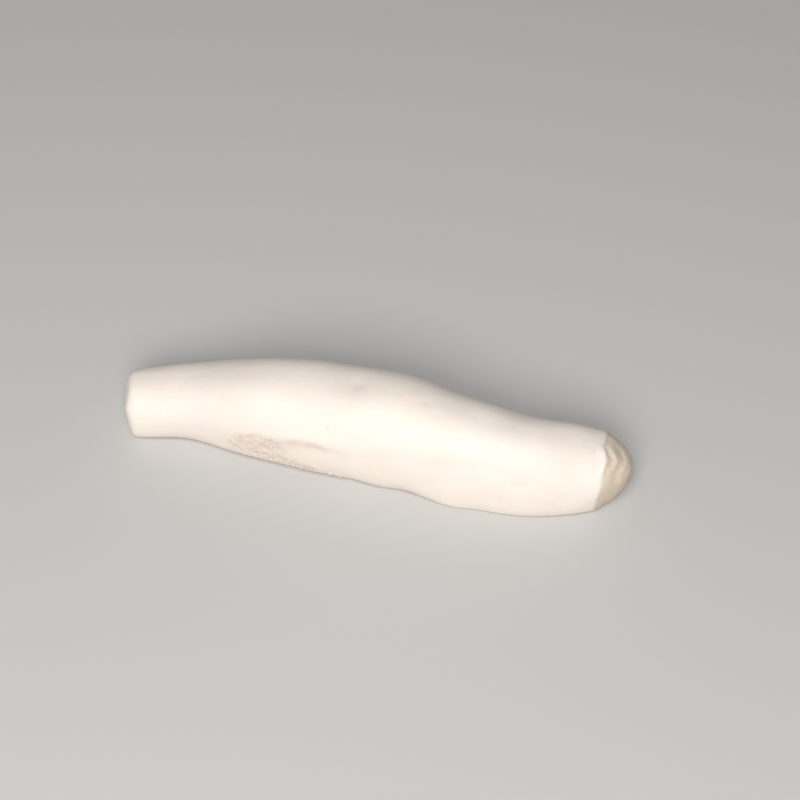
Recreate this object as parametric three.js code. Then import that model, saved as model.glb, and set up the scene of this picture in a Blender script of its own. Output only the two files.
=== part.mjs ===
// Steamed bun: one long roll of plain white wheat dough, cut to length with a knife and steamed.
//
// The roll is a single solid in millimetres, +Z up. It lies along X on its own flat foot at z = 0,
// with the middle of its box over the origin. Its left end is blunt, where it rose against the wall
// of the steamer. Its right end is a fresh cut: the crumb swelled out past the edge of the skin and
// left a soft crease beside it.
//
// The skin is one net of points. A row of the net is a cross-section of the roll, and a column runs
// along it. The angle round the roll is 0 at the back, 90 on top and 180 at the front, in degrees.

import * as THREE from "three";

// ---- Driving dimensions ----

const ROLL_LENGTH = 252; // the chord that the stations divide, up to the skin's cut edge

// Half the width of the roll, and how far its middle line bows to the back, along that chord. Then
// how high its widest line lies, as a share of the height, and how wide its foot is, as a share of
// the width. The narrow end stayed rounder, and the thick half slumped on to the floor.
const STATIONS = [
  { share: 0.0, halfWidth: 16.5, bow: 0.5, widest: 0.45, foot: 0.7 },
  { share: 0.12, halfWidth: 19.4, bow: 6.1, widest: 0.45, foot: 0.7 },
  { share: 0.28, halfWidth: 25.2, bow: 5.5, widest: 0.43, foot: 0.7 },
  { share: 0.44, halfWidth: 27.4, bow: 3.8, widest: 0.39, foot: 0.76 },
  { share: 0.58, halfWidth: 28.3, bow: 2.9, widest: 0.32, foot: 0.84 },
  { share: 0.72, halfWidth: 26.1, bow: -2.8, widest: 0.28, foot: 0.87 },
  { share: 0.86, halfWidth: 23.9, bow: -5.2, widest: 0.3, foot: 0.86 },
  { share: 1.0, halfWidth: 19.4, bow: 0.0, widest: 0.38, foot: 0.8 },
];

const HEIGHT_TO_HALF_WIDTH = 1.84;
const CROWN_POWER = 2.2; // 2 is an ellipse, and more is squarer
const FLANK_POWER = 2.7;

const BLUNT_END = { along: 4.6, direction: -1, edgeRadius: 5.5, dome: 3.0 };
const CUT_END = { along: 251.6, direction: 1, edgeRadius: 3.7, dome: 15.3 };

// The knife ran a little aslant, so that the skin reaches further at the upper back.
const SLANT = { reach: 2.7, angle: 45, fade: 14 };

// The cut edge of the skin waves a little in and out.
const EDGE_WAVES = [
  { count: 3, depth: 0.55, phase: 1.1 },
  { count: 7, depth: 0.3, phase: 0.4 },
];

// The crumb swelled out furthest at the upper back of the cut face.
const FULLNESS = { reach: 2.7, angle: 61 };

// The soft crease on the cut face, beside the edge of the skin and alongside it.
const CREASE = { inFromEdge: 2.8, width: 1.5, depth: 1.1, angle: 106, spread: 36 };

// Swells and hollows left by the hands, by the floor's slats and by the next roll. Each is a soft
// mound on the skin: its place along the roll and round it, its two half sizes, and its rise.
const SWELLS = [
  { along: 182, angle: 213, length: 11, breadth: 13, rise: 1.9 },
  { along: 157, angle: 210, length: 10, breadth: 12, rise: -1.2 },
  { along: 120, angle: 207, length: 12, breadth: 10, rise: -0.6 },
  { along: 162, angle: 69, length: 17, breadth: 12, rise: -0.9 },
  { along: 209, angle: 74, length: 10, breadth: 10, rise: -0.8 },
  { along: 241, angle: 58, length: 10, breadth: 13, rise: 1.2 },
  { along: 124, angle: 90, length: 7, breadth: 8, rise: -0.5 },
  { along: 215, angle: 161, length: 5, breadth: 6, rise: -0.8 },
  { along: 60, angle: 117, length: 24, breadth: 16, rise: 0.5 },
  { along: 34, angle: 150, length: 14, breadth: 16, rise: -0.5 },
];

// Long, low unevenness of a roll shaped by hand, as waves that run round and along it.
const HAND_WAVES = [
  { depth: 0.3, wavelength: 118, turns: 2, phase: 0.7 },
  { depth: 0.22, wavelength: 73, turns: 3, phase: 2.9 },
  { depth: 0.14, wavelength: 46, turns: 2, phase: 5.1 },
];

// How finely the net is laid.
const BODY_ROWS = 58;
const BLUNT_ROWS = 6;
const CUT_ROWS = 15;
const SKIN_COLUMNS = 42;
const FOOT_COLUMNS = 5;

// ---- The roll's outline along its length ----

const radians = THREE.MathUtils.degToRad;

// The slope of a smooth line through the stations at one of them, for gaps of unequal length.
function slopeAt(places, values, i) {
  const last = places.length - 1;
  if (i === 0 || i === last) {
    const from = i === 0 ? 0 : last - 1;
    return (values[from + 1] - values[from]) / (places[from + 1] - places[from]);
  }
  const before = places[i] - places[i - 1];
  const after = places[i + 1] - places[i];
  const slopeBefore = (values[i] - values[i - 1]) / before;
  const slopeAfter = (values[i + 1] - values[i]) / after;
  return (slopeBefore * after + slopeAfter * before) / (before + after);
}

// A smooth line through one size of the stations, as a function of the place along the roll.
function smoothLine(size) {
  const places = STATIONS.map((station) => station.share * ROLL_LENGTH);
  const values = STATIONS.map((station) => station[size]);
  const slopes = places.map((_, i) => slopeAt(places, values, i));
  return (along) => {
    const next = places.findIndex((place) => place > along);
    const i = next < 0 ? places.length - 2 : Math.max(next - 1, 0);
    const gap = places[i + 1] - places[i];
    const t = (along - places[i]) / gap;
    const t2 = t * t;
    const t3 = t2 * t;
    return (
      (2 * t3 - 3 * t2 + 1) * values[i] +
      (t3 - 2 * t2 + t) * gap * slopes[i] +
      (3 * t2 - 2 * t3) * values[i + 1] +
      (t3 - t2) * gap * slopes[i + 1]
    );
  };
}

const halfWidthAt = smoothLine("halfWidth");
const bowAt = smoothLine("bow");
const widestShareAt = smoothLine("widest");
const footShareAt = smoothLine("foot");

// The direction of the middle line, as a unit vector in the XY plane.
function headingAt(along) {
  const step = 0.5;
  const rise = (bowAt(along + step) - bowAt(along - step)) / (2 * step);
  return new THREE.Vector2(1, rise).normalize();
}

// ---- The cross-section ----

const powered = (value, power) => Math.sign(value) * Math.abs(value) ** (2 / power);

// The sizes of the full cross-section at a place along the roll. Its flanks drop from the widest
// line past the floor, which flattens them into a foot of the right width.
function sectionAt(along) {
  const halfWidth = halfWidthAt(along);
  const height = HEIGHT_TO_HALF_WIDTH * halfWidth;
  const widest = widestShareAt(along) * height;
  const cutOff = 1 - footShareAt(along) ** FLANK_POWER;
  return {
    halfWidth,
    widest,
    crown: height - widest,
    drop: widest / cutOff ** (1 / FLANK_POWER),
    footAngle: Math.asin(Math.sqrt(cutOff)),
  };
}

// A point of the full cross-section: across the roll, and up from its widest line.
function sectionPoint(section, angle) {
  const above = Math.sin(angle) >= 0;
  const power = above ? CROWN_POWER : FLANK_POWER;
  const reach = above ? section.crown : section.drop;
  return new THREE.Vector2(
    section.halfWidth * powered(Math.cos(angle), power),
    reach * powered(Math.sin(angle), power),
  );
}

// A column's angle: round the skin from one side of the foot to the other, then back under it.
function columnAngle(column, footAngle) {
  const skinSweep = Math.PI + 2 * footAngle;
  const footSweep = 2 * Math.PI - skinSweep;
  const past = column - (SKIN_COLUMNS - 1);
  return past <= 0
    ? -footAngle + (skinSweep * column) / (SKIN_COLUMNS - 1)
    : Math.PI + footAngle + (footSweep * past) / FOOT_COLUMNS;
}

// ---- The rounded ends ----

// An end closes by an arc over the skin's edge, and then a dome up to the tip of the middle line.
function endShape(end) {
  const halfWidth = halfWidthAt(end.along);
  let scale = 1;
  let arcAngle = 0;
  // the arc stops where its slope meets the dome's, which is found in a few steps
  for (let i = 0; i < 6; i++) {
    arcAngle = Math.PI / 2 - Math.atan((2 * end.dome) / (scale * halfWidth));
    scale = 1 - (end.edgeRadius / halfWidth) * (1 - Math.cos(arcAngle));
  }
  const arc = end.edgeRadius * arcAngle;
  return { halfWidth, arcAngle, arc, domeScale: scale, path: arc + scale * halfWidth };
}

// How far the section has shrunk, and moved out, at a distance in from the edge of the skin.
function endPoint(end, shape, distance) {
  if (distance < shape.arc) {
    const angle = distance / end.edgeRadius;
    return {
      scale: 1 - (end.edgeRadius / shape.halfWidth) * (1 - Math.cos(angle)),
      out: end.edgeRadius * Math.sin(angle),
    };
  }
  const inward = (distance - shape.arc) / (shape.path - shape.arc);
  return {
    scale: shape.domeScale * (1 - inward),
    out: end.edgeRadius * Math.sin(shape.arcAngle) + end.dome * (1 - (1 - inward) ** 2),
  };
}

// ---- Relief on the skin ----

const bell = (distance, halfSize) => Math.exp(-((distance / halfSize) ** 2));

function handWaves(along, angle) {
  return HAND_WAVES.reduce((sum, wave) => {
    const turn = (2 * Math.PI * along) / wave.wavelength + wave.turns * angle + wave.phase;
    return sum + wave.depth * Math.sin(turn);
  }, 0);
}

function swells(along, angle, halfWidth) {
  return SWELLS.reduce((sum, swell) => {
    const round = (angle - radians(swell.angle)) * halfWidth;
    return sum + swell.rise * bell(along - swell.along, swell.length) * bell(round, swell.breadth);
  }, 0);
}

// How much the cut moves a point outward: its slant and the waves of its edge, and on the face the
// crumb's fullness and the crease.
function cutRelief(row, angle) {
  const nearEdge = THREE.MathUtils.clamp((row.along - CUT_END.along + SLANT.fade) / SLANT.fade, 0, 1);
  const fade = nearEdge ** 2 * row.scale ** 2;
  const waves = EDGE_WAVES.reduce(
    (sum, wave) => sum + wave.depth * Math.sin(wave.count * angle + wave.phase),
    0,
  );
  const slant = SLANT.reach * Math.cos(angle - radians(SLANT.angle)) + waves;
  if (row.fromEdge <= 0) {
    return slant * fade;
  }
  const towards = 0.5 + 0.5 * Math.cos(angle - radians(FULLNESS.angle));
  const fullness = FULLNESS.reach * towards * 4 * row.scale * (1 - row.scale);
  const round = bell(angle - radians(CREASE.angle), radians(CREASE.spread));
  const crease = CREASE.depth * round * bell(row.fromEdge - CREASE.inFromEdge, CREASE.width);
  return slant * fade + fullness - crease;
}

// ---- The net of points ----

function bodyRows() {
  const rows = [];
  for (let i = 0; i <= BODY_ROWS; i++) {
    const along = THREE.MathUtils.lerp(BLUNT_END.along, CUT_END.along, i / BODY_ROWS);
    rows.push({ along, scale: 1, out: 0, fromEdge: 0 });
  }
  return rows;
}

// The rows of an end, from the edge of the skin inwards, without the edge itself or the tip.
function endRows(end, count) {
  const shape = endShape(end);
  const rows = [];
  for (let i = 1; i < count; i++) {
    const distance = (shape.path * i) / count;
    const { scale, out } = endPoint(end, shape, distance);
    const fromEdge = end.direction > 0 ? distance : 0;
    rows.push({ along: end.along, scale, out: out * end.direction, fromEdge });
  }
  return rows;
}

function tipRow(end) {
  const shape = endShape(end);
  const { out } = endPoint(end, shape, shape.path);
  return { along: end.along, scale: 0, out: out * end.direction, fromEdge: 0 };
}

// The point of the net on one row, in one column.
function netPoint(row, column) {
  const section = sectionAt(row.along);
  const heading = headingAt(row.along);
  const angle = columnAngle(column, section.footAngle);
  const point = sectionPoint(section, angle).multiplyScalar(row.scale);
  const out = row.out + cutRelief(row, angle);
  if (column < SKIN_COLUMNS && row.scale > 0) {
    const place = row.along + row.out;
    const relief = handWaves(place, angle) + swells(place, angle, section.halfWidth);
    point.setLength(point.length() + relief * row.scale);
  }
  return new THREE.Vector3(
    row.along + out * heading.x - point.x * heading.y,
    bowAt(row.along) + out * heading.y + point.x * heading.x,
    Math.max(section.widest + point.y, 0),
  );
}

// Two triangles for each cell between neighbouring rows, and a fan round each tip.
function netTriangles(rowCount, columns) {
  const triangles = [];
  const at = (row, column) => 1 + row * columns + (column % columns);
  const farTip = 1 + rowCount * columns;
  for (let column = 0; column < columns; column++) {
    triangles.push(0, at(0, column + 1), at(0, column));
    for (let row = 0; row < rowCount - 1; row++) {
      const near = at(row, column);
      const nearNext = at(row, column + 1);
      const far = at(row + 1, column);
      const farNext = at(row + 1, column + 1);
      triangles.push(near, farNext, far, near, nearNext, farNext);
    }
    triangles.push(farTip, at(rowCount - 1, column), at(rowCount - 1, column + 1));
  }
  return triangles;
}

function bunGeometry() {
  const rows = [
    ...endRows(BLUNT_END, BLUNT_ROWS).reverse(),
    ...bodyRows(),
    ...endRows(CUT_END, CUT_ROWS),
  ];
  const columns = SKIN_COLUMNS - 1 + FOOT_COLUMNS;
  const points = [netPoint(tipRow(BLUNT_END), 0)];
  for (const row of rows) {
    for (let column = 0; column < columns; column++) {
      points.push(netPoint(row, column));
    }
  }
  points.push(netPoint(tipRow(CUT_END), 0));
  const geometry = new THREE.BufferGeometry().setFromPoints(points);
  geometry.setIndex(netTriangles(rows.length, columns));

  // stand the roll on z = 0 with the middle of its box over the origin
  geometry.computeBoundingBox();
  const middle = geometry.boundingBox.getCenter(new THREE.Vector3());
  geometry.translate(-middle.x, -middle.y, -geometry.boundingBox.min.z);
  geometry.computeVertexNormals();
  return geometry;
}

// ---- The object ----

const doughSkin = new THREE.MeshStandardMaterial({
  color: 0xf3ede2,
  roughness: 0.52,
  metalness: 0.0,
});

const bun = new THREE.Mesh(bunGeometry(), doughSkin);
bun.name = "bun";

const steamedBun = new THREE.Group();
steamedBun.add(bun);

export default steamedBun;
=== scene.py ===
# Steamed bun: one long roll of plain white wheat dough, cut to length with a knife and steamed.
#
# The meshes are in metres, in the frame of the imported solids: +X along the roll towards its cut end,
# +Y to the back, +Z up, with the foot on z = 0. Sizes of the dough and the camera are written in
# millimetres, and those of the floor and the lights in metres. Angles round the roll are 0 at the
# back, 90 on top and 180 at the front.

import math

import bmesh
import bpy
from mathutils import Matrix, Vector


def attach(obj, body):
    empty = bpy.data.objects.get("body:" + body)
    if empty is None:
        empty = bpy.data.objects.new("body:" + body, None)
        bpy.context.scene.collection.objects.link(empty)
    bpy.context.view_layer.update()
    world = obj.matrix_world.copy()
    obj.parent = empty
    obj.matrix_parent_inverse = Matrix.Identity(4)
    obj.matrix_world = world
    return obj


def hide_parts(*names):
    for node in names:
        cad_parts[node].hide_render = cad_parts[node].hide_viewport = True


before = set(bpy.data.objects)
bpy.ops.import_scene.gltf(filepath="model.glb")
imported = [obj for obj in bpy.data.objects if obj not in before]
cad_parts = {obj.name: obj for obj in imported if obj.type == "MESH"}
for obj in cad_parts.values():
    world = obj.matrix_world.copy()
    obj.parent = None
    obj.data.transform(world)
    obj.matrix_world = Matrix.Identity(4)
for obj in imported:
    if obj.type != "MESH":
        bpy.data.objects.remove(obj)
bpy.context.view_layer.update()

MM = 0.001  # metres in a millimetre


# ---- The camera ----
# A long lens looks down on the front of the roll, from a little to the right of its middle. It is
# turned slightly about its own axis.

AIM = Vector((9.79, 23.02, 20.0)) * MM
AIM_DISTANCE = 1045.9 * MM
AZIMUTH = math.radians(9.651)  # 0 looks along +Y
ELEVATION = math.radians(47.183)
ROLL = math.radians(1.126)
LENS_LENGTH = 88.04  # millimetres
SENSOR_WIDTH = 36.0

backward = Vector(
    (
        math.sin(AZIMUTH) * math.cos(ELEVATION),
        -math.cos(AZIMUTH) * math.cos(ELEVATION),
        math.sin(ELEVATION),
    )
)
level_right = Vector((math.cos(AZIMUTH), math.sin(AZIMUTH), 0.0))
level_up = backward.cross(level_right)
right = level_right * math.cos(ROLL) + level_up * math.sin(ROLL)
up = backward.cross(right)

lens = bpy.data.cameras.new("camera")
lens.lens = LENS_LENGTH
lens.sensor_width = SENSOR_WIDTH
lens.clip_start = 0.01
lens.clip_end = 50.0
camera = bpy.data.objects.new("camera", lens)
camera.matrix_world = Matrix.Translation(AIM + backward * AIM_DISTANCE) @ Matrix(
    (right, up, backward)
).transposed().to_4x4()
bpy.context.collection.objects.link(camera)
bpy.context.scene.camera = camera


# ---- The roll ----
# One log of plain wheat dough, rolled under the hands, cut to length with a knife and steamed. It
# set in one piece: a satin skin all round, flat where it lay, and torn a little where it stuck to
# the slats. The knife left bare crumb at the right end, which swelled out past the skin.

ROLL_LENGTH = 252.0  # the chord that the stations divide, up to the skin's cut edge
CENTRE = (132.903, 1.311)  # the frame's origin, along that chord and to the back of it

# share of that chord, half the width there, how far the middle line bows to the back, how high the
# widest line lies as a share of the height, and the foot's share of the width
STATIONS = [
    (0.0, 16.5, 0.5, 0.45, 0.7),
    (0.12, 19.4, 6.1, 0.45, 0.7),
    (0.28, 25.2, 5.5, 0.43, 0.7),
    (0.44, 27.4, 3.8, 0.39, 0.76),
    (0.58, 28.3, 2.9, 0.32, 0.84),
    (0.72, 26.1, -2.8, 0.28, 0.87),
    (0.86, 23.9, -5.2, 0.3, 0.86),
    (1.0, 19.4, 0.0, 0.38, 0.8),
]

ROLL_SIZES = {
    "Rows": 398,
    "Columns": 240,
    "Height To Half Width": 1.84,
    "Foot Edge Softness": 3.0,
    "Crown Power": 2.2,  # 2 is an ellipse, and more is squarer
    "Flank Power": 2.7,
    "Slant": 2.7,  # the knife ran aslant, so the skin reaches further at the upper back
    "Slant Fade": 14.0,  # how far back from the cut it still shows
    "Fullness": 2.7,  # how much further the crumb swelled at the upper back of the cut face
    "Hand Unevenness": 0.3,
    "Skin Unevenness": 0.12,
    "Seam Width": 2.7,
    "Seam Wander": 1.2,
    "Torn Depth": 0.9,
    "Back Roughness": 0.3,
    "Back Depth": 0.12,
    "Nib Height": 0.85,
    "Slat Mark Depth": 0.5,
    "Foot Torn Depth": 0.35,
    "Streak Depth": 0.1,
    "Pucker Depth": 0.22,
    "Knob Height": 0.6,
    "Dimple Depth": 1.6,
    "Fold Depth": 0.55,
    "Blunt End Unevenness": 0.45,
    "Knife Drag Depth": 0.4,
    "Open Crumb Depth": 0.12,
    "Snag Height": 0.9,
}

# where an end starts, the radius of the skin's edge, and how far the face domes out past it
BLUNT_END = {"along": 4.6, "radius": 5.5, "dome": 3.0}
CUT_END = {"along": 251.6, "radius": 3.7, "dome": 15.3}
SLANT_ANGLE = math.radians(45)
FULLNESS_ANGLE = math.radians(61)

# waves of the cut edge, as a count, a depth and a phase
EDGE_WAVES = [(3, 0.55, 1.1), (7, 0.3, 0.4)]

# long waves left by the hands: depth, wavelength, turns round the roll, phase
HAND_WAVES = [(0.3, 118, 2, 0.7), (0.22, 73, 3, 2.9), (0.14, 46, 2, 5.1)]

# swells and hollows: along, angle, half length, half breadth, rise
SWELLS = [
    (182, 213, 11, 13, 1.9),
    (157, 210, 10, 12, -1.2),
    (120, 207, 12, 10, -0.6),
    (162, 69, 17, 12, -0.9),
    (209, 74, 10, 10, -0.8),
    (241, 58, 10, 13, 1.2),
    (124, 90, 7, 8, -0.5),
    (215, 161, 5, 6, -0.8),
    (60, 117, 24, 16, 0.5),
    (34, 150, 14, 16, -0.5),
]

# dents of fingers and of steam, and low bumps, in the same five sizes
DENTS = [
    (214.5, 160.5, 2.6, 2.2, -0.5),
    (201.3, 146.5, 3.2, 2.0, -0.3),
    (124.6, 91.5, 3.2, 4.0, -0.4),
    (125.6, 116, 1.2, 1.0, -0.2),
    (213, 125.5, 4.0, 3.2, -0.18),
    (162, 95, 3.0, 2.4, -0.22),
    (155, 92, 2.6, 2.2, 0.22),
    (168.5, 104, 4.5, 2.2, -0.2),
    (172, 97, 4.0, 2.4, 0.2),
    (177, 112, 3.6, 1.8, -0.16),
    (192, 98, 7.0, 4.5, -0.18),
    (49.1, 63, 0.9, 0.9, -0.32),
    (68.8, 54.5, 1.0, 0.8, -0.35),
    (234.3, 173, 3.0, 2.2, -0.25),
    (28.3, 109, 3.0, 4.0, -0.3),
    (97.5, 131, 6.0, 3.0, -0.15),
    (147, 123, 5.0, 3.0, -0.15),
]

# where the skin tore, and the puckers beside the cut: the first four of those sizes
TORN_MIDDLE = (76.0, 186, 19.0, 8.5)
TORN_TAIL = (100.0, 205, 13.0, 5.0)
PUCKERS = (246.5, 120, 6.0, 24.0)

# bands along the roll, and two lumps by the rim of the cut: angle, half breadth
FRONT_FOOT = (208, 3.4)
UPPER_BACK = (50, 22.0)
KNOB = (102, 3.2)
SNAG = (131, 3.4)

# the band where the next roll lay: its middle, how far that wanders in radians, its half breadth,
# and the places along the roll between which it starts and ends
KISS_ANGLE = math.radians(6)
KISS_WANDER = 0.12
KISS_HALF_BREADTH = 8.0
KISS_START = (18.0, 40.0)
KISS_END = (225.0, 246.0)

# where the foot's front edge is frayed
FRAYED_MIDDLE = 106.0
FRAYED_HALF_LENGTH = 19.0

SLAT_PITCH = 15.0

# the seam where the sheet of dough was rolled up: along, angle, depth
SEAM_RANGE = (70.0, 230.0)
SEAM = [
    (78, 181, 0.0),
    (85, 179, 0.6),
    (92, 176.5, 1.0),
    (100.4, 172.5, 1.3),
    (107, 171.5, 1.2),
    (112.8, 172, 0.85),
    (117.7, 173, 0.5),
    (126, 171.5, 0.3),
    (138, 166, 0.28),
    (156.8, 158.5, 0.26),
    (176.5, 152, 0.24),
    (196.3, 146.5, 0.2),
    (209.6, 149, 0.12),
    (222, 153.5, 0.0),
]

# creases on the cut face. The way is a line of angles and distances in from the skin's edge, and
# each is deepest at its angle and fades over its spread
CREASES = [
    {
        "way": [(60, 2.6), (77, 2.2), (93, 1.7), (102, 2.5), (114, 3.7), (124, 3.3), (136, 2.4)],
        "width": 0.75,
        "depth": 1.5,
        "angle": 104,
        "spread": 34,
    },
    {
        "way": [(92, 0.6), (103, 1.1), (114, 2.4), (122, 3.0)],
        "width": 0.5,
        "depth": 0.55,
        "angle": 108,
        "spread": 11,
    },
    {
        "way": [(40, 7.4), (62, 6.2), (84, 6.0), (100, 7.6), (118, 7.2), (140, 6.0), (165, 6.8)],
        "width": 1.2,
        "depth": 0.55,
        "angle": 112,
        "spread": 40,
    },
    {
        "way": [(170, 3.4), (200, 5.2), (225, 4.6), (250, 6.4)],
        "width": 0.9,
        "depth": 0.6,
        "angle": 208,
        "spread": 26,
    },
]

SKIN_LIGHT = (0.93, 0.85, 0.78, 1.0)
SKIN_CREAM = (0.90, 0.805, 0.72, 1.0)
SKIN_DAMP = (0.83, 0.715, 0.62, 1.0)
# painted shade for the seam's groove
SEAM_PAINTED_SHADE = (0.77, 0.63, 0.55, 1.0)
# tan of torn skin, darkened partly as painted shade
TORN_SKIN_AND_SHADE = (0.62, 0.46, 0.37, 1.0)
# the cut face's crumb: yellower, and darkened partly as painted shade
CUT_FACE_CRUMB_AND_SHADE = (0.70, 0.575, 0.455, 1.0)


class Wire:
    """One output of a node, so that a sum on it adds the nodes that work it out."""

    def __init__(self, tree, socket=None):
        self.tree = tree
        self.socket = socket

    def make(self, kind, settings=None, values=None, output=0):
        """Adds any other node: its type, its settings first, and then what its sockets are given."""
        node = self.tree.nodes.new(kind)
        for name, setting in (settings or {}).items():
            if name == "points":
                set_points(node.mapping, setting)
            else:
                setattr(node, name, setting)
        for place, value in (values or {}).items():
            if isinstance(value, Wire):
                self.tree.links.new(value.socket, node.inputs[place])
            else:
                node.inputs[place].default_value = value
        return Wire(self.tree, node.outputs[output] if node.outputs else None)

    def other(self, output):
        """Another output of the same node."""
        return Wire(self.tree, self.socket.node.outputs[output])

    def to(self, operation, *values):
        """A Math node on this output and the values."""
        sockets = dict(enumerate((self, *values)))
        return self.make("ShaderNodeMath", {"operation": operation}, sockets)

    def __add__(self, value):
        return self.to("ADD", value)

    __radd__ = __add__

    def __sub__(self, value):
        return self.to("SUBTRACT", value)

    def __rsub__(self, value):
        return self.make("ShaderNodeMath", {"operation": "SUBTRACT"}, {0: value, 1: self})

    def __mul__(self, value):
        return self.to("MULTIPLY", value)

    __rmul__ = __mul__

    def __truediv__(self, value):
        return self.to("DIVIDE", value)

    def __rtruediv__(self, value):
        return self.make("ShaderNodeMath", {"operation": "DIVIDE"}, {0: value, 1: self})

    def __pow__(self, value):
        return self.to("POWER", value)

    def __neg__(self):
        return self.to("MULTIPLY", -1.0)


def set_points(mapping, points):
    """Puts the points of a curve node in their places."""
    curve = mapping.curves[0]
    for _ in range(len(points) - 2):
        curve.points.new(0.5, 0.5)
    for point, place in zip(curve.points, points):
        point.location = place
    mapping.update()


def fade(value, low, high):
    """0 below low and 1 above high, with a soft step between them."""
    ends = {"Value": value, "From Min": low, "From Max": high}
    return value.make("ShaderNodeMapRange", {"interpolation_type": "SMOOTHSTEP"}, ends)


def bell(distance):
    """1 at no distance, falling to nothing past 2 half sizes."""
    return (-(distance * distance)).to("EXPONENT")


def mound(x, y):
    """A bell in two directions at once."""
    return (-(x * x + y * y)).to("EXPONENT")


def round_from(skin, degrees, half_breadth):
    """How far round the skin a point lies from an angle, in half breadths."""
    _, angle, half_width = skin
    return (angle - math.radians(degrees)) * half_width / half_breadth


def place_bell(skin, place, degrees, half_length, half_breadth):
    """A bell over a place on the skin."""
    return mound((skin[0] - place) / half_length, round_from(skin, degrees, half_breadth))


def noise(place, size, detail=0.0, roughness=0.5):
    """Soft noise about 0, between about -1 and 1, with lumps of a size in the units of place."""
    sockets = {"Vector": place, "Scale": 1.0 / size, "Detail": detail, "Roughness": roughness}
    return (place.make("ShaderNodeTexNoise", {"normalize": True}, sockets) - 0.5) * 2.0


def in_millimetres(place):
    """A place that is in metres, in millimetres."""
    return place.make("ShaderNodeVectorMath", {"operation": "SCALE"}, {0: place, "Scale": 1 / MM})


def pushed_out(mesh_wire, height):
    """Moves every point straight out of the surface, by a height in millimetres."""
    normal = mesh_wire.make("GeometryNodeInputNormal")
    sockets = {0: normal, "Scale": height * MM}
    offset = mesh_wire.make("ShaderNodeVectorMath", {"operation": "SCALE"}, sockets)
    return mesh_wire.make("GeometryNodeSetPosition", {}, {"Geometry": mesh_wire, "Offset": offset})


# --- the roll's outline along its length


def smooth_slopes(places, values):
    """Slopes of a smooth line through values, for gaps of unequal length."""
    gaps = [after - before for before, after in zip(places, places[1:])]
    rises = [after - before for before, after in zip(values, values[1:])]
    steep = [rise / gap for rise, gap in zip(rises, gaps)]
    middle = [
        (steep[i] * gaps[i + 1] + steep[i + 1] * gaps[i]) / (gaps[i] + gaps[i + 1])
        for i in range(len(gaps) - 1)
    ]
    return [steep[0], *middle, steep[-1]]


def smooth_line(places, values):
    """A smooth line through values, as a function of the place along it."""
    slopes = smooth_slopes(places, values)

    def line(place):
        last = len(places) - 2
        i = max([0] + [i for i in range(last + 1) if places[i] <= place])
        gap = places[i + 1] - places[i]
        t = (place - places[i]) / gap
        rise = (3 - 2 * t) * t * t
        return (
            values[i] * (1 - rise)
            + values[i + 1] * rise
            + gap * slopes[i] * t * (1 - t) ** 2
            + gap * slopes[i + 1] * t * t * (t - 1)
        )

    return line


station_places = [station[0] * ROLL_LENGTH for station in STATIONS]
half_width_at, bow_at, widest_share_at, foot_share_at = [
    smooth_line(station_places, [station[i] for station in STATIONS]) for i in (1, 2, 3, 4)
]


def held_line(places, values):
    """A smooth line that stays at its end values outside its ends."""
    line = smooth_line(places, values)
    return lambda place: line(min(max(place, places[0]), places[-1]))


def drawn(place, line, start, end, steps=64):
    """A line in the tree: a curve that is read at a place between start and end."""
    reads = [line(start + (end - start) * i / steps) for i in range(steps + 1)]
    low, high = min(reads) - 0.01, max(reads) + 0.01
    points = [(i / steps, (read - low) / (high - low)) for i, read in enumerate(reads)]
    share = (place - start) / (end - start)
    curve = place.make("ShaderNodeFloatCurve", {"points": points}, {"Value": share})
    return curve * (high - low) + low


def end_shape(end):
    """The arc over the skin's edge, how wide the dome starts, and the whole way in to the tip."""
    half_width = half_width_at(end["along"])
    scale = 1.0
    for _ in range(6):  # the arc stops where its slope meets the dome's
        turn = math.pi / 2 - math.atan(2 * end["dome"] / (scale * half_width))
        scale = 1 - end["radius"] / half_width * (1 - math.cos(turn))
    arc = end["radius"] * turn
    path = arc + scale * half_width
    return {"half_width": half_width, "arc": arc, "scale": scale, "path": path}


def end_point(end, shape, distance):
    """How much a section has shrunk, and moved out, at a distance in from the skin's edge."""
    turned = distance.to("MINIMUM", shape["arc"]) / end["radius"]
    inward = (distance - shape["arc"]).to("MAXIMUM", 0.0) / (shape["path"] - shape["arc"])
    shrink = (1.0 - turned.to("COSINE")) * (end["radius"] / shape["half_width"])
    scale = 1.0 - shrink - inward * shape["scale"]
    out = turned.to("SINE") * end["radius"] + (1.0 - (1.0 - inward) ** 2.0) * end["dome"]
    return scale.to("MAXIMUM", 0.0), out


def named_inputs(tree, sizes):
    """Gives a tree its named inputs, and returns them as wires."""
    tree.interface.new_socket("Geometry", in_out="INPUT", socket_type="NodeSocketGeometry")
    tree.interface.new_socket("Geometry", in_out="OUTPUT", socket_type="NodeSocketGeometry")
    for name, value in sizes.items():
        kind = "NodeSocketInt" if isinstance(value, int) else "NodeSocketFloat"
        tree.interface.new_socket(name, in_out="INPUT", socket_type=kind)
    given = Wire(tree).make("NodeGroupInput")
    return {name: given.other(name) for name in ["Geometry", *sizes]}


def grown(name, tree, sizes, source):
    """Runs a tree on a mesh, and returns what it makes as a plain mesh object."""
    seed = bpy.data.objects.new("seed", source)
    bpy.context.collection.objects.link(seed)
    modifier = seed.modifiers.new("nodes", "NODES")
    modifier.node_group = tree
    for item in tree.interface.items_tree:
        if item.in_out == "INPUT" and item.name in sizes:
            modifier[item.identifier] = sizes[item.name]
    shown = seed.evaluated_get(bpy.context.evaluated_depsgraph_get())
    mesh = bpy.data.meshes.new_from_object(shown)
    bpy.data.objects.remove(seed)
    mesh.name = name
    piece = bpy.data.objects.new(name, mesh)
    bpy.context.collection.objects.link(piece)
    return piece


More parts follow.
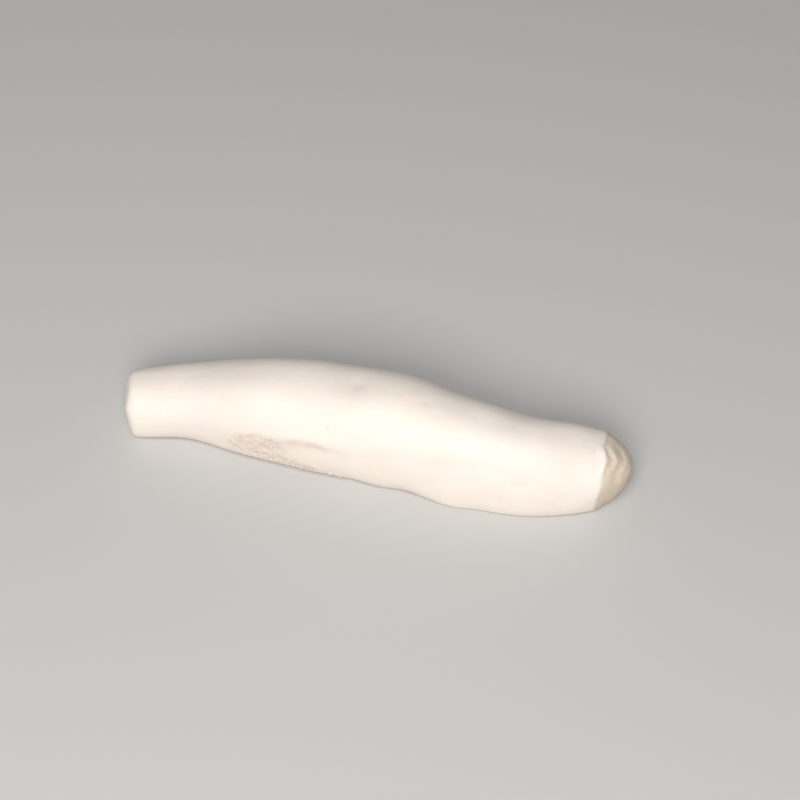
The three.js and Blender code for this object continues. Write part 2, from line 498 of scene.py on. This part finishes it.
def lasting(mesh_wire, name, value):
    """Keeps a value on the points of the mesh, under a name."""
    settings = {"data_type": "FLOAT", "domain": "POINT"}
    sockets = {"Geometry": mesh_wire, "Name": name, "Value": value}
    return mesh_wire.make("GeometryNodeStoreNamedAttribute", settings, sockets)


def kept(wire, name):
    """A value that the mesh keeps under a name."""
    return wire.make("GeometryNodeInputNamedAttribute", {"data_type": "FLOAT"}, {"Name": name})


# --- the roll's form

roll_tree = bpy.data.node_groups.new("roll", "GeometryNodeTree")
size = named_inputs(roll_tree, ROLL_SIZES)
start = Wire(roll_tree)
blunt = end_shape(BLUNT_END)
cut = end_shape(CUT_END)
body_length = CUT_END["along"] - BLUNT_END["along"]
whole_path = blunt["path"] + body_length + cut["path"]

tube = start.make(
    "GeometryNodeMeshCylinder",
    {"fill_type": "TRIANGLE_FAN"},
    {"Vertices": size["Columns"], "Side Segments": size["Rows"], "Radius": 1.0, "Depth": 1.0},
)
tube_place = start.make("ShaderNodeSeparateXYZ", {}, {0: start.make("GeometryNodeInputPosition")})
tube_x, tube_y, tube_z = tube_place, tube_place.other(1), tube_place.other(2)

# each tip is one row past the last ring
row_gap = whole_path / (size["Rows"] + 2.0)
at_tip = 1.0 - (tube_x * tube_x + tube_y * tube_y).to("SQRT")
past_ring = (tube_z.to("SIGN") * at_tip + 1.0) * row_gap
way = (tube_z + 0.5) * (whole_path - 2.0 * row_gap) + past_ring - blunt["path"]
angle = tube_y.to("ARCTAN2", tube_x) + math.pi / 2

along_body = way.to("MAXIMUM", 0.0).to("MINIMUM", body_length) + BLUNT_END["along"]
in_blunt = (-way).to("MAXIMUM", 0.0)
in_cut = (way - body_length).to("MAXIMUM", 0.0)
blunt_scale, blunt_out = end_point(BLUNT_END, blunt, in_blunt)
cut_scale, cut_out = end_point(CUT_END, cut, in_cut)
scale = blunt_scale * cut_scale
row_out = cut_out - blunt_out
place_along = along_body + row_out


def drawn_along(line):
    """A line that is read at each place along the body."""
    line_end = 256.0  # a little past the cut
    return drawn(along_body, line, 0.0, line_end, 128)


half_width = drawn_along(half_width_at)
bow = drawn_along(bow_at)
slope = drawn_along(lambda place: bow_at(place + 0.5) - bow_at(place - 0.5))
heading_x = 1.0 / (slope * slope + 1.0).to("SQRT")
heading_y = slope * heading_x

# the full section is a soft oval, squarer below its widest line, and its flanks drop past the floor,
# which flattens them into a foot of the right width
cosine = angle.to("COSINE")
sine = angle.to("SINE")
above = sine.to("GREATER_THAN", 0.0)
height = half_width * size["Height To Half Width"]
widest = height * drawn_along(widest_share_at)
foot_share = drawn_along(foot_share_at)
flank_power = size["Flank Power"]
drop = widest / (1.0 - foot_share ** flank_power) ** (1.0 / flank_power)
power = 2.0 / (flank_power + (size["Crown Power"] - flank_power) * above)
reach = drop + (height - widest - drop) * above
across = half_width * cosine.to("SIGN") * cosine.to("ABSOLUTE") ** power * scale
upward = reach * sine.to("SIGN") * sine.to("ABSOLUTE") ** power * scale

# what the hands left
relief = 0.0
for depth, wavelength, turns, phase in HAND_WAVES:
    turn = place_along * (2 * math.pi / wavelength) + angle * turns + phase
    relief = turn.to("SINE") * depth + relief
skin = (place_along, angle, half_width)
for place, degrees, half_length, half_breadth, rise in SWELLS:
    relief = place_bell(skin, place, degrees, half_length, half_breadth) * rise + relief
from_middle = (across * across + upward * upward).to("SQRT").to("MAXIMUM", 0.001)
swell = relief * scale / from_middle + 1.0
across = across * swell
upward = upward * swell

# what the knife left
edge_wave = 0.0
for count, depth, phase in EDGE_WAVES:
    edge_wave = (angle * count + phase).to("SINE") * depth + edge_wave
near_cut = ((along_body - CUT_END["along"]) / size["Slant Fade"] + 1.0).to("MAXIMUM", 0.0)
slant = (angle - SLANT_ANGLE).to("COSINE") * size["Slant"] + edge_wave
towards = (angle - FULLNESS_ANGLE).to("COSINE") * 0.5 + 0.5
fullness = in_cut.to("GREATER_THAN", 0.0) * towards * scale * (1.0 - scale) * 4.0 * size["Fullness"]
out = row_out + slant * near_cut * near_cut * scale * scale + fullness

# from the chord of the stations to the frame
roll_x = along_body + out * heading_x - across * heading_y - CENTRE[0]
roll_y = bow + out * heading_y + across * heading_x - CENTRE[1]
roll_z = (widest + upward).to("SMOOTH_MAX", 0.0, size["Foot Edge Softness"])
form_place = start.make(
    "ShaderNodeCombineXYZ", {}, {0: roll_x * MM, 1: roll_y * MM, 2: roll_z * MM}
)

# the net keeps where each of its points lies on the roll
form = tube
for name, value in {
    "along": place_along,
    "angle": angle,
    "half_width": half_width,
    "in_cut": in_cut,
    "in_blunt": in_blunt,
}.items():
    form = lasting(form, name, value)
form = start.make("GeometryNodeSetPosition", {}, {"Geometry": form, "Position": form_place})

# --- fine relief, straight out of the skin

along = kept(start, "along")
angle = kept(start, "angle")
half_width = kept(start, "half_width")
in_cut = kept(start, "in_cut")
in_blunt = kept(start, "in_blunt")
skin = (along, angle, half_width)
spot = in_millimetres(start.make("GeometryNodeInputPosition"))
spot_z = start.make("ShaderNodeSeparateXYZ", {}, {0: spot}, output=2)
on_face = fade(in_cut, 0.6, 2.6)
on_skin = 1.0 - on_face
on_blunt = fade(in_blunt, 1.5, 7.0)
low_down = bell(spot_z / 3.5)


def unrolled(first, second):
    """A place on the skin laid flat, for noise that is drawn out one way."""
    return start.make("ShaderNodeCombineXYZ", {}, {0: first, 1: second, 2: 0.0})


fine = noise(spot, 27.0, 1.0) * size["Hand Unevenness"]
fine = fine + noise(spot, 9.0, 1.0) * size["Skin Unevenness"]

for place, degrees, half_length, half_breadth, rise in DENTS:
    fine = place_bell(skin, place, degrees, half_length, half_breadth) * rise + fine

# the seam: a groove with a low lip above it
LIP_ABOVE = 1.9  # in widths of the seam
LIP_SHARE = 0.45  # of its depth
seam_places = [place for place, _, _ in SEAM]
seam_angles = held_line(seam_places, [math.radians(degrees) for _, degrees, _ in SEAM])
seam_depths = held_line(seam_places, [depth for _, _, depth in SEAM])
seam_angle = drawn(along, seam_angles, *SEAM_RANGE)
seam_depth = drawn(along, seam_depths, *SEAM_RANGE)
seam_depth = seam_depth.to("MAXIMUM", 0.0) * (0.75 + noise(spot, 9.0, 1.0) * 0.6)
wander = noise(spot, 12.0, 2.0) * size["Seam Wander"]
from_seam = ((angle - seam_angle) * half_width + wander) / size["Seam Width"]
fine = fine + seam_depth * (bell(from_seam + LIP_ABOVE) * LIP_SHARE - bell(from_seam))
# the seam's groove as a mask, which the dough's colour darkens as painted shade
seam_line = seam_depth * bell(from_seam * 0.8)

# the torn patch on the lower front, where the skin stuck and came away in grains
GRAIN_SIZE = 1.7
torn_spread = place_bell(skin, *TORN_MIDDLE) + place_bell(skin, *TORN_TAIL) * 0.8
torn = fade(torn_spread + noise(spot, 6.0, 2.0) * 0.35, 0.30, 0.75)
grains = start.make(
    "ShaderNodeTexVoronoi",
    {"feature": "SMOOTH_F1"},
    {"Vector": spot, "Scale": 1 / GRAIN_SIZE, "Smoothness": 0.4},
)
pulled = 0.35 - grains + noise(spot, 2.4, 2.0) * 0.9 + noise(spot, 5.0) * 0.5
fine = fine + torn * size["Torn Depth"] * pulled

# the kissing crust on the back: a matt, faintly torn band where the next roll lay against it
kiss_middle = KISS_ANGLE + noise(unrolled(along, 0.0), 60.0) * KISS_WANDER
kiss_way = fade(along, *KISS_START) * (1.0 - fade(along, *KISS_END))
kiss = bell((angle - kiss_middle) * half_width / KISS_HALF_BREADTH) + noise(spot, 9.0, 2.0) * 0.4
kiss = fade(kiss, 0.35, 0.75) * kiss_way
fine = fine + kiss * (noise(spot, 3.0, 3.0) * size["Back Roughness"] - size["Back Depth"])

# the foot's edge: nibs of dough that were pulled out by the floor
front_foot = bell(round_from(skin, *FRONT_FOOT))
frayed = fade(bell((along - FRAYED_MIDDLE) / FRAYED_HALF_LENGTH), 0.2, 0.75)
ragged = fade(noise(spot, 2.1, 1.0), -0.1, 0.4)
nibs = ragged * (front_foot * frayed + low_down * 0.14)
fine = fine + nibs * size["Nib Height"]

# the underside: marks of the slats, and the skin torn by them
on_foot = fade(-spot_z, -0.4, -0.02)
slats = ((along * (2 * math.pi / SLAT_PITCH)).to("SINE") - 0.9).to("MAXIMUM", 0.0) * 10.0
foot_torn = fade(noise(spot, 4.0, 3.0), 0.1, 0.5)
fine = fine - on_foot * (slats * size["Slat Mark Depth"] + foot_torn * size["Foot Torn Depth"])

# faint streaks along the upper back, where the dough dried a little under the hands
lengthwise = unrolled(along * 0.3, angle * half_width)
streaked = bell(round_from(skin, *UPPER_BACK)) * size["Streak Depth"] + 0.025
fine = fine + noise(lengthwise, 2.8, 2.0) * streaked * on_skin * (1.0 - on_blunt)

# puckers beside the cut, across the roll
crosswise = unrolled(along, angle * half_width * 0.22)
fine = fine + place_bell(skin, *PUCKERS) * on_skin * noise(crosswise, 3.6, 1.0) * size["Pucker Depth"]

# the skin's edge stands a little proud of the cut where the knife left it
knob = mound(round_from(skin, *KNOB), in_cut / 1.6)
fine = fine + knob * fade(along, 248.0, 251.0) * size["Knob Height"]

# the blunt end: soft folds that run in to a dimple, where the dough was tucked
in_dimple = 1.0 - fade(in_blunt, 4.0, 19.0)
fold_turn = angle * 3.0 + noise(spot, 14.0, 1.0) * 2.6
fine = fine - on_blunt * fade(in_blunt, 9.0, 19.5) * size["Dimple Depth"]
fine = fine + on_blunt * in_dimple * fold_turn.to("SINE") * size["Fold Depth"]
fine = fine + on_blunt * noise(spot, 7.0, 2.0) * size["Blunt End Unevenness"]

# the cut face: creases alongside the skin, drag lines of the knife, and open crumb
for crease in CREASES:
    turns = [math.radians(degrees) for degrees, _ in crease["way"]]
    line = held_line(turns, [inward for _, inward in crease["way"]])
    middle = drawn(angle, line, turns[0], turns[-1])
    across_crease = (in_cut - middle + noise(spot, 5.0, 1.0) * 0.7) / crease["width"]
    spread = bell((angle - math.radians(crease["angle"])) / math.radians(crease["spread"]))
    lip = bell(across_crease - 1.8) * 0.5
    fine = fine + spread * (lip - bell(across_crease)) * crease["depth"]
inwards = unrolled(in_cut, angle * half_width * 0.16)
fine = fine + on_face * noise(inwards, 2.6, 2.0) * size["Knife Drag Depth"]
fine = fine + on_face * noise(spot, 2.4, 2.0) * size["Open Crumb Depth"]
snag = mound(round_from(skin, *SNAG), (in_cut - 4.2) / 2.0)
fine = fine + snag * (noise(spot, 1.7, 1.0) * size["Snag Height"] - 0.15)

form = pushed_out(form, fine)

# nothing hangs below the foot
raised = start.make("ShaderNodeSeparateXYZ", {}, {0: start.make("GeometryNodeInputPosition")})
lifted = start.make(
    "ShaderNodeCombineXYZ",
    {},
    {0: raised, 1: raised.other(1), 2: raised.other(2).to("MAXIMUM", 0.0)},
)

# what the skin's colours and the crumbs go by
off_floor = fade(spot_z, 0.7, 1.4)
crumby = torn * on_skin + nibs * 1.2 + kiss * 0.1 + snag * 0.6
form = lasting(form, "face", on_face)
form = lasting(form, "torn", torn.to("MAXIMUM", kiss * 0.6))
form = lasting(form, "seam", seam_line)
form = lasting(form, "crumby", crumby * off_floor)
form = start.make("GeometryNodeSetPosition", {}, {"Geometry": form, "Position": lifted})
form = start.make("GeometryNodeSetShadeSmooth", {}, {"Geometry": form})
form = start.make("GeometryNodeRealizeInstances", {}, {"Geometry": form})

# --- the dough: satin skin in soft cream and white patches, matt, yellower and partly painted shade on bare crumb

dough = bpy.data.materials.new("dough skin")
dough.use_nodes = True
dough.node_tree.nodes.clear()
shade = Wire(dough.node_tree)


def mixed(factor, first, second):
    """A colour between two others."""
    return factor.make(
        "ShaderNodeMix", {"data_type": "RGBA"}, {0: factor, 6: first, 7: second}, output=2
    )


def painted(wire, name):
    """A value that the net's points carry."""
    return wire.make("ShaderNodeAttribute", {"attribute_name": name}, output=2)


place = in_millimetres(shade.make("ShaderNodeTexCoord", output=3))
face = painted(shade, "face")
torn_skin = painted(shade, "torn")

# white and cream patches, damp patches, and painted shade: all of it in the seam, some on torn skin
# and cut face
cream = fade(noise(place, 22.0, 2.0), -0.35, 0.45)
colour = mixed(cream * 0.55, SKIN_LIGHT, SKIN_CREAM)
damp = fade(noise(place, 11.0, 3.0, 0.6), 0.22, 0.7)
colour = mixed(damp * 0.5, colour, SKIN_DAMP)
# painted shade: the seam's groove is darkened in the colour, most where the groove is deepest
colour = mixed(painted(shade, "seam") * 0.65, colour, SEAM_PAINTED_SHADE)
speckled = fade(noise(place, 1.3, 3.0, 0.65), 0.0, 0.45)
# torn skin: tan grains, darkened partly as painted shade
colour = mixed(torn_skin * (speckled * 0.5 + 0.33), colour, TORN_SKIN_AND_SHADE)
# the cut face: yellower crumb, darkened partly as painted shade
colour = mixed(face * 0.8, colour, CUT_FACE_CRUMB_AND_SHADE)

# grain, low bumps and pinholes too small for the net, as heights in millimetres
GRAIN_HEIGHT = 0.012
TORN_GRAIN_HEIGHT = 0.16
FACE_GRAIN_HEIGHT = 0.03
BUMP_HEIGHT = 0.02
PIT_DEPTH = 0.05
PIT_SPACING = 5.0
grain = noise(place, 1.1, 3.0, 0.6)
bumps = noise(place, 3.4, 1.0)
pores = shade.make("ShaderNodeTexVoronoi", {}, {"Vector": place, "Scale": 1 / PIT_SPACING})
pits = 1.0 - fade(pores, 0.03, 0.1)
rough = torn_skin.to("MAXIMUM", face)
grain_height = GRAIN_HEIGHT + torn_skin * TORN_GRAIN_HEIGHT + face * FACE_GRAIN_HEIGHT
fine_height = grain * grain_height + bumps * BUMP_HEIGHT - pits * PIT_DEPTH
bump = shade.make(
    "ShaderNodeBump", {}, {"Height": fine_height * MM, "Strength": 1.0, "Distance": 1.0}
)
surface = shade.make(
    "ShaderNodeBsdfPrincipled",
    {"subsurface_method": "RANDOM_WALK"},
    {
        "Base Color": colour,
        "Roughness": 0.45 + noise(place, 8.0, 2.0) * 0.06 + rough * 0.25 - damp * 0.06,
        "Normal": bump,
        "Subsurface Weight": 0.35,
        "Subsurface Radius": (1.0, 0.65, 0.4),
        "Subsurface Scale": 0.003,
        "Specular IOR Level": 0.27,
    },
)
shade.make("ShaderNodeOutputMaterial", {}, {"Surface": surface})

form = start.make("GeometryNodeSetMaterial", {}, {"Geometry": form, "Material": dough})
start.make("NodeGroupOutput", {}, {0: form})

roll = grown("roll", roll_tree, ROLL_SIZES, bpy.data.meshes.new("empty"))
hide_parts("bun")
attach(roll, "root")


# ---- The crumbs ----
# Grains of dough that tore off where the skin stuck to the slats and to the next roll. Each is half
# sunk in the skin, and they dried a little, so they are matt.

CRUMB_SIZES = {
    "Crumbs To A Square Centimetre": 13.0,
    "Smallest": 0.16,  # half sizes
    "Largest": 0.6,
    "Lumpiness": 0.16,
    "Seed": 11,
}


def joined(wire):
    """The same number three times over, as a vector."""
    return wire.make("ShaderNodeCombineXYZ", {}, {0: wire, 1: wire, 2: wire})


crumb_tree = bpy.data.node_groups.new("crumbs", "GeometryNodeTree")
size = named_inputs(crumb_tree, CRUMB_SIZES)
start = Wire(crumb_tree)
density = kept(start, "crumby") * size["Crumbs To A Square Centimetre"] / (10 * MM) ** 2
points = start.make(
    "GeometryNodeDistributePointsOnFaces",
    {"distribute_method": "RANDOM"},
    {"Mesh": size["Geometry"], "Density": density, "Seed": size["Seed"]},
)
grain = start.make("GeometryNodeMeshIcoSphere", {}, {"Radius": MM, "Subdivisions": 2})
half_sizes = start.make(
    "FunctionNodeRandomValue",
    {"data_type": "FLOAT_VECTOR"},
    {0: joined(size["Smallest"]), 1: joined(size["Largest"]), "Seed": size["Seed"]},
)
turned = start.make(
    "FunctionNodeRandomValue",
    {"data_type": "FLOAT_VECTOR"},
    {0: (0.0, 0.0, 0.0), 1: (math.tau, math.tau, math.tau), "Seed": size["Seed"]},
)
grains = start.make(
    "GeometryNodeInstanceOnPoints",
    {},
    {
        "Points": points,
        "Instance": grain,
        "Rotation": start.make("FunctionNodeEulerToRotation", {}, {0: turned}),
        "Scale": half_sizes,
    },
)
grains = start.make("GeometryNodeRealizeInstances", {}, {"Geometry": grains})
spot = in_millimetres(start.make("GeometryNodeInputPosition"))
grains = pushed_out(grains, noise(spot, 0.5, 1.0) * size["Lumpiness"])
grains = start.make("GeometryNodeSetShadeSmooth", {}, {"Geometry": grains})

dried = bpy.data.materials.new("dried dough")
dried.use_nodes = True
dried.node_tree.nodes.clear()
shade = Wire(dried.node_tree)
place = in_millimetres(shade.make("ShaderNodeTexCoord", output=3))
grit = noise(place, 0.35, 2.0)
GRIT_HEIGHT = 0.03
grit_bump = shade.make("ShaderNodeBump", {}, {"Height": grit * GRIT_HEIGHT * MM, "Distance": 1.0})
surface = shade.make(
    "ShaderNodeBsdfPrincipled",
    {"subsurface_method": "RANDOM_WALK"},
    {
        "Base Color": mixed(fade(noise(place, 3.0), -0.4, 0.4), SKIN_LIGHT, SKIN_DAMP),
        "Roughness": 0.68 + grit * 0.08,
        "Normal": grit_bump,
        "Subsurface Weight": 0.1,
        "Subsurface Radius": (1.0, 0.65, 0.4),
        "Subsurface Scale": 0.0003,
        "Specular IOR Level": 0.3,
    },
)
shade.make("ShaderNodeOutputMaterial", {}, {"Surface": surface})
grains = start.make("GeometryNodeSetMaterial", {}, {"Geometry": grains, "Material": dried})
start.make("NodeGroupOutput", {}, {0: grains})

crumbs = grown("crumbs", crumb_tree, CRUMB_SIZES, roll.data)
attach(crumbs, "root")


# ---- The shreds and flecks ----
# Slivers of skin that the slats pulled out and left curled at the foot, and single dry flecks.

# along, angle, length, half width, how far the tip lifts, and which way it points, 0 along the roll
SLIVERS = [
    (69.0, 199, 3.8, 0.48, 1.7, 62),
    (71.8, 196.5, 4.2, 0.45, 2.1, 120),
    (73.6, 204, 2.2, 0.36, 0.7, 75),
    (90.4, 211, 1.7, 0.36, 0.6, 20),
    (99.4, 206, 1.5, 0.40, 0.4, 150),
    (103.4, 206, 1.8, 0.42, 0.5, 15),
    (108.8, 206, 1.3, 0.34, 0.4, 100),
    (119.2, 214, 1.9, 0.42, 0.8, 70),
    (37.0, 200, 2.0, 0.30, 0.3, 10),
    (40.0, 202.5, 1.4, 0.28, 0.3, 170),
    (86.6, 84.5, 0.9, 0.30, 0.15, 60),
    (87.6, 88.5, 1.0, 0.32, 0.15, 130),
    (90.1, 82.5, 0.8, 0.28, 0.15, 35),
    (159.2, 54.5, 0.8, 0.28, 0.15, 80),
    (15.5, 49, 0.8, 0.28, 0.15, 20),
]
SLIVER_RINGS = 9
SLIVER_SIDES = 8
ROOT_DEPTH = 0.1  # how deep the thick end sits in the skin
CURL = 2.4  # radians that the sliver turns over its length
SIDE_BEND = 0.5
FLATNESS = 0.5  # thickness as a share of the width

reads = {}
for name in ("along", "angle"):
    values = [0.0] * len(roll.data.vertices)
    roll.data.attributes[name].data.foreach_get("value", values)
    reads[name] = values


def on_roll(along, degrees):
    """The point of the skin at a place along and round the roll, with its normal."""
    turn = math.radians(degrees)
    reach = 25.0  # millimetres of skin to a radian of turn
    nearest = min(
        range(len(reads["along"])),
        key=lambda i: (reads["along"][i] - along) ** 2 + ((reads["angle"][i] - turn) * reach) ** 2,
    )
    vertex = roll.data.vertices[nearest]
    return vertex.co.copy(), vertex.normal.copy()


points, faces = [], []
for along, degrees, length, half_width, lift, heading in SLIVERS:
    foot, outward = on_roll(along, degrees)
    forward = Vector((1, 0, 0)) - outward * outward.x
    forward.normalize()
    sideways = outward.cross(forward)
    turn = math.radians(heading)
    way = forward * math.cos(turn) + sideways * math.sin(turn)
    side = outward.cross(way)
    first = len(points)
    for ring in range(SLIVER_RINGS):
        share = ring / (SLIVER_RINGS - 1)
        reached = math.sin(share * CURL) * length / CURL
        risen = lift * share * share - ROOT_DEPTH
        middle = foot + (way * reached + outward * risen + side * SIDE_BEND * share ** 2) * MM
        swell = max(math.sin(math.pi * (0.08 + 0.9 * share)), 0.0) ** 0.7 * half_width
        for i in range(SLIVER_SIDES):
            around = math.tau * i / SLIVER_SIDES
            edge = side * math.cos(around) * swell + outward * math.sin(around) * swell * FLATNESS
            points.append(middle + edge * MM)
    for ring in range(SLIVER_RINGS - 1):
        for i in range(SLIVER_SIDES):
            near = first + ring * SLIVER_SIDES
            j = (i + 1) % SLIVER_SIDES
            far = near + SLIVER_SIDES
            faces.append((near + i, near + j, far + j, far + i))
    faces.append(tuple(first + SLIVER_SIDES - 1 - i for i in range(SLIVER_SIDES)))
    last = first + (SLIVER_RINGS - 1) * SLIVER_SIDES
    faces.append(tuple(last + i for i in range(SLIVER_SIDES)))

sliver_mesh = bpy.data.meshes.new("shreds")
sliver_mesh.from_pydata(points, [], faces)
net = bmesh.new()
net.from_mesh(sliver_mesh)
bmesh.ops.recalc_face_normals(net, faces=net.faces)
net.to_mesh(sliver_mesh)
net.free()
for face in sliver_mesh.polygons:
    face.use_smooth = True
sliver_mesh.materials.append(dried)
shreds = bpy.data.objects.new("shreds", sliver_mesh)
bpy.context.collection.objects.link(shreds)
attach(shreds, "root")


# ---- The floor and the studio lights ----
# A plain pale floor, two broad soft lights in front, one high and one lower, and a faint even fill
# all round.

FLOOR_SIZE = 12.0
FLOOR_COLOUR = (0.62, 0.61, 0.60, 1.0)
LIGHT_DISTANCE = 2.0
LIGHT_WIDTH = 1.1
LIGHT_HEIGHT = 0.7
LIGHT_COLOUR = (1.0, 0.99, 0.97)
FILL_COLOUR = (0.97, 0.97, 0.97, 1.0)
FILL_STRENGTH = 0.17

floor_mesh = bpy.data.meshes.new("floor")
half = FLOOR_SIZE / 2
floor_mesh.from_pydata(
    [(-half, -half, 0), (half, -half, 0), (half, half, 0), (-half, half, 0)], [], [(0, 1, 2, 3)]
)
floor = bpy.data.objects.new("floor", floor_mesh)
bpy.context.collection.objects.link(floor)
paper = bpy.data.materials.new("floor")
paper.use_nodes = True
paper_shader = paper.node_tree.nodes["Principled BSDF"]
paper_shader.inputs["Base Color"].default_value = FLOOR_COLOUR
paper_shader.inputs["Roughness"].default_value = 0.9
floor_mesh.materials.append(paper)


def soft_light(name, azimuth, elevation, power):
    """A broad lamp that points at the middle of the roll."""
    lamp = bpy.data.lights.new(name, "AREA")
    lamp.shape = "RECTANGLE"
    lamp.size = LIGHT_WIDTH
    lamp.size_y = LIGHT_HEIGHT
    lamp.energy = power
    lamp.color = LIGHT_COLOUR
    turn, rise = math.radians(azimuth), math.radians(elevation)
    back = Vector(
        (math.sin(turn) * math.cos(rise), -math.cos(turn) * math.cos(rise), math.sin(rise))
    )
    light = bpy.data.objects.new(name, lamp)
    light.location = back * LIGHT_DISTANCE + Vector((0, 0, 20 * MM))
    light.rotation_mode = "QUATERNION"
    light.rotation_quaternion = back.to_track_quat("Z", "Y")
    bpy.context.collection.objects.link(light)


soft_light("front light", azimuth=3, elevation=36, power=24.0)
soft_light("upper light", azimuth=0, elevation=62, power=17.0)

world = bpy.data.worlds.new("room")
world.use_nodes = True
sky = world.node_tree.nodes["Background"]
sky.inputs["Color"].default_value = FILL_COLOUR
sky.inputs["Strength"].default_value = FILL_STRENGTH
bpy.context.scene.world = world
bpy.context.scene.view_settings.view_transform = "Standard"
